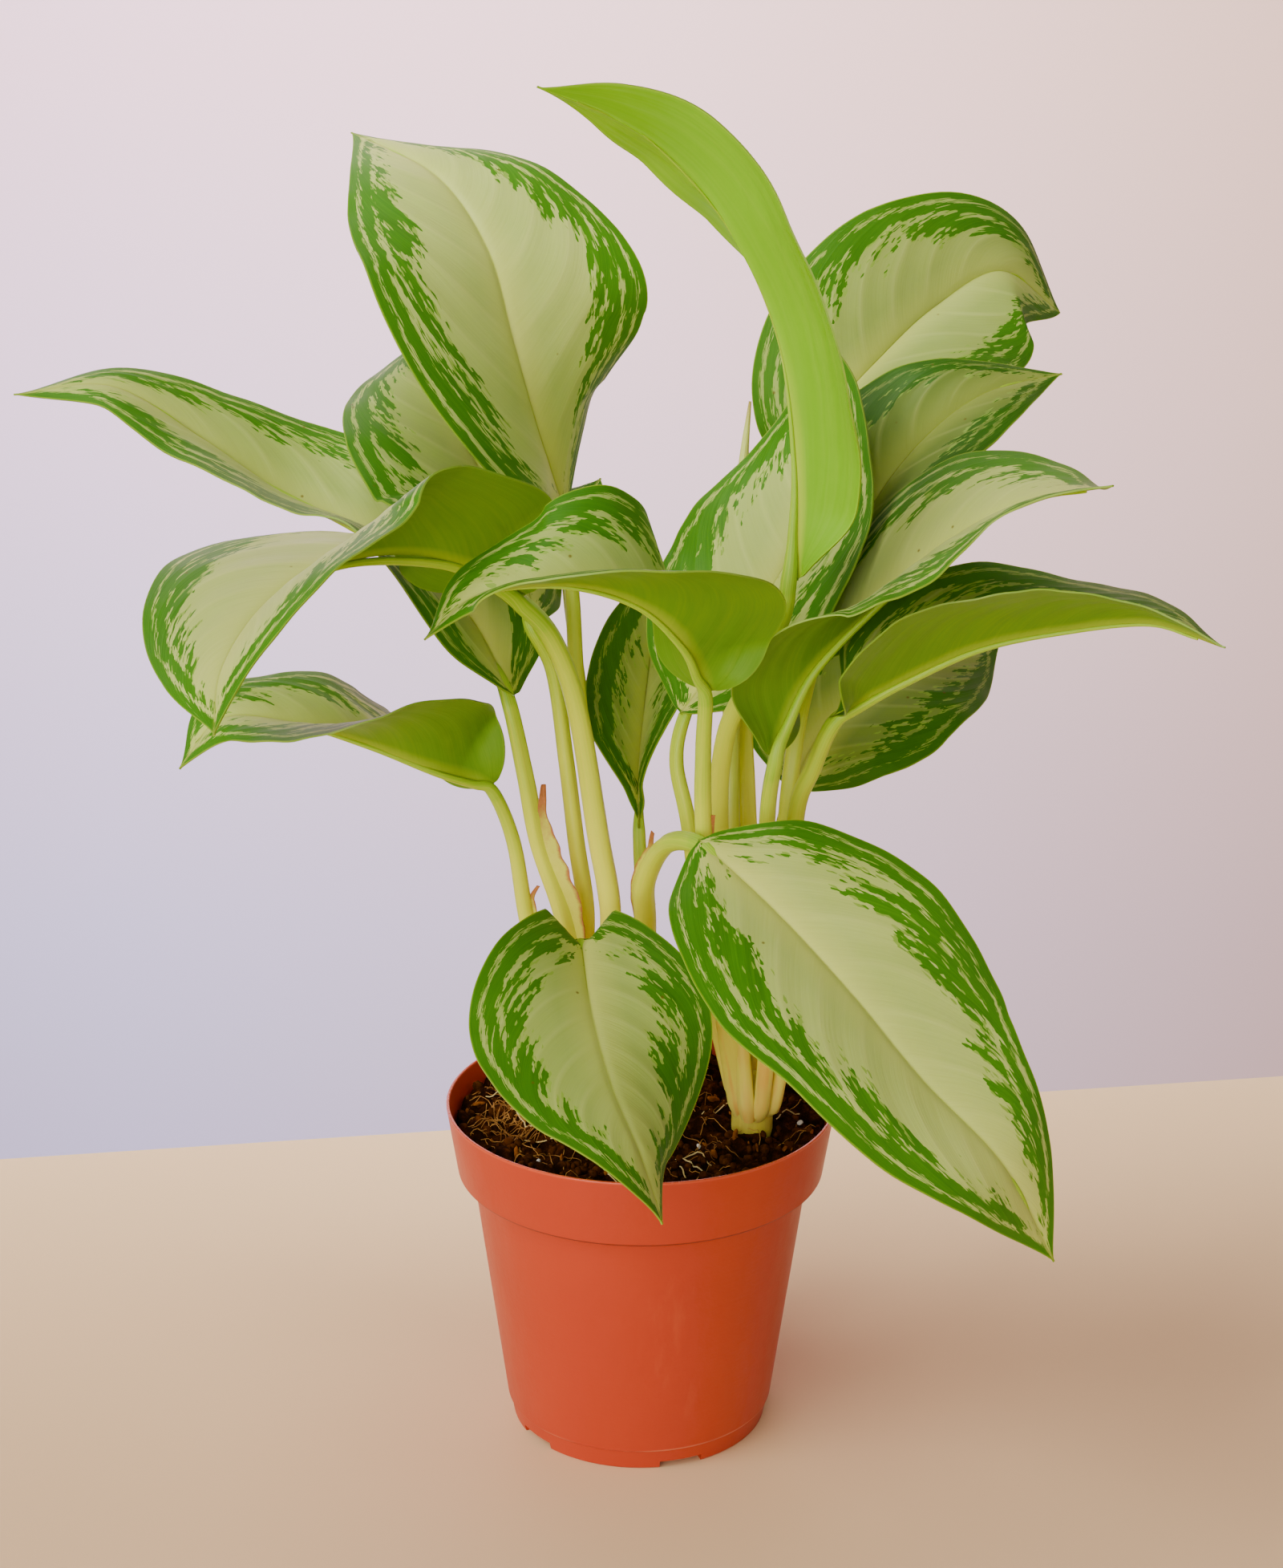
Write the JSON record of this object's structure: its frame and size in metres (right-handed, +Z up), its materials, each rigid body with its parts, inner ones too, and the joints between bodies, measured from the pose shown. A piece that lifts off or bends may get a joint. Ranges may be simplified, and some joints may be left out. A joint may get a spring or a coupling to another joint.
{
  "type": "potted chinese evergreen",
  "caption": "Chinese evergreen house plant with silver and green variegated leaves on long stalks, growing in soil in a round tapered nursery pot with a plain collar.",
  "frame": {"origin": "middle of the pot's base, on the surface that the pot stands on", "axes": "+Z up the plant, +X to the right and -Y to the front as the picture shows it"},
  "size_m": [0.3493, 0.2528, 0.4122],
  "materials": {
    "pot": "terracotta-coloured moulded plastic, satin",
    "soil": "moist dark potting soil with coir fibres",
    "cane": "smooth pale green plant stem",
    "stalk": "smooth, softly glossy yellow-green leaf stalk",
    "blade": "softly glossy leaf, silver-green with dark green flecks and margin",
    "plain_blade": "smooth plain bright green leaf underside"
  },
  "bodies": {
    "root": {"pot": "pot", "soil": "soil", "cane_left": "cane", "cane_middle": "cane", "cane_right": "cane", "new_leaf": "stalk", "stalk_drooping_left": "stalk", "stalk_top_left": "stalk", "stalk_behind_left": "stalk", "stalk_far_left": "stalk", "stalk_front_heart": "stalk", "stalk_low_left": "stalk", "stalk_front_right": "stalk", "stalk_middle_back": "stalk", "stalk_small_back": "stalk", "stalk_top_right": "stalk", "stalk_tall_plain": "stalk", "stalk_right_middle": "stalk", "stalk_right_front": "stalk", "stalk_right_back": "stalk", "stalk_middle_front": "stalk", "stalk_centre": "stalk", "stalk_low_right_back": "stalk", "leaf_drooping_left": "blade", "leaf_top_left": "blade", "leaf_behind_left": "blade", "leaf_far_left": "blade", "leaf_front_heart": "blade", "leaf_low_left": "blade", "leaf_front_right": "blade", "leaf_middle_back": "blade", "leaf_small_back": "blade", "leaf_top_right": "blade", "leaf_tall_plain": "plain_blade", "leaf_right_middle": "blade", "leaf_right_front": "blade", "leaf_right_back": "blade", "leaf_middle_front": "blade", "leaf_centre": "blade", "leaf_low_right_back": "blade"}
  },
  "joints": []
}
